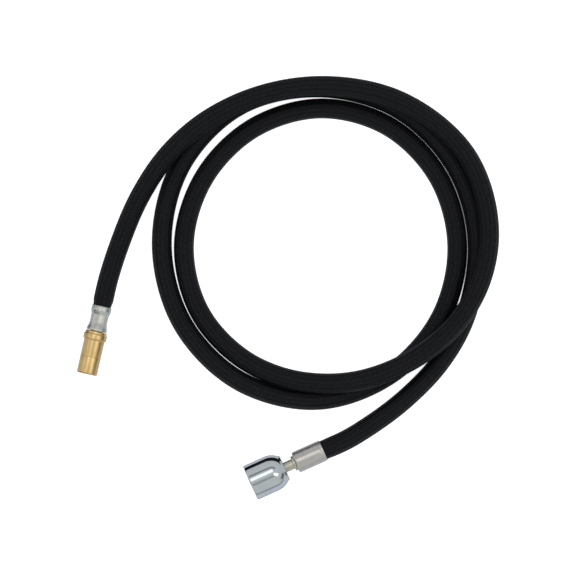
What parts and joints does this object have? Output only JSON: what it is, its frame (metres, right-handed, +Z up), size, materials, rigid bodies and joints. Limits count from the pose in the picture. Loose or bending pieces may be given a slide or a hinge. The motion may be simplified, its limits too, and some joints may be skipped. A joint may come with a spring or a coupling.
{
  "type": "pull-out spray hose",
  "caption": "Braided kitchen spray hose lying in loops, with a bell nut that slides and spins on one end and a swivelling push-in connector on the other.",
  "frame": {"origin": "on the surface the hose lies on, under the middle of the whole lay", "axes": "+Z up out of that surface, +X and +Y across the loops, with the bell nut at the lowest Y and the brass connector at the lowest X"},
  "size_m": [0.2738, 0.2749, 0.0262],
  "materials": {
    "braid": "black nylon yarn, tightly braided",
    "liner": "extruded polyethylene",
    "spray_ferrule": "drawn stainless steel, lightly polished",
    "supply_ferrule": "crimped aluminium-grey stainless steel",
    "nickel": "nickel-plated turned brass",
    "chrome": "polished chrome plate on brass",
    "brass": "turned brass, satin",
    "rubber": "moulded EPDM",
    "acetal": "moulded white acetal",
    "valve_plastic": "moulded blue acetal",
    "spring_steel": "drawn stainless spring wire"
  },
  "bodies": {
    "hose": {"outer_braid": "braid", "inner_liner": "liner", "spray_ferrule": "spray_ferrule", "spray_stem": "nickel", "spray_washer": "rubber", "supply_ferrule": "supply_ferrule", "supply_insert": "brass", "swivel_o_ring_front": "rubber", "swivel_o_ring_rear": "rubber"},
    "nut_slider": {"nut_slip_ring": "acetal"},
    "bell_nut": {"swivel_nut": "chrome"},
    "connector": {"connector_body": "brass", "connector_nose": "brass", "swivel_snap_ring": "spring_steel", "check_valve_housing": "valve_plastic", "check_valve_o_ring": "rubber", "check_valve_guide": "acetal", "check_valve_spring": "spring_steel"},
    "poppet": {"check_valve_poppet": "acetal", "check_valve_face_seal": "rubber"}
  },
  "joints": [
    {"name": "nut_slide", "type": "slide", "parent": "hose", "child": "nut_slider", "axis": [0.9121, 0.4099, 0], "range_m": [0, 0.0055]},
    {"name": "nut_spin", "type": "hinge", "parent": "nut_slider", "child": "bell_nut", "pos_m": [-0.01299, -0.1218, 0.012], "axis": [-0.9121, -0.4099, 0], "continuous": true},
    {"name": "connector_spin", "type": "hinge", "parent": "hose", "child": "connector", "pos_m": [-0.12702, -0.04106, 0.0076], "axis": [-0.2207, -0.9753, 0], "continuous": true},
    {"name": "valve_open", "type": "slide", "parent": "connector", "child": "poppet", "axis": [0.2207, 0.9753, 0], "range_m": [0, 0.002], "stiffness_N_per_m": 60, "springref_m": -0.003, "deforming": ["check_valve_spring"]}
  ]
}
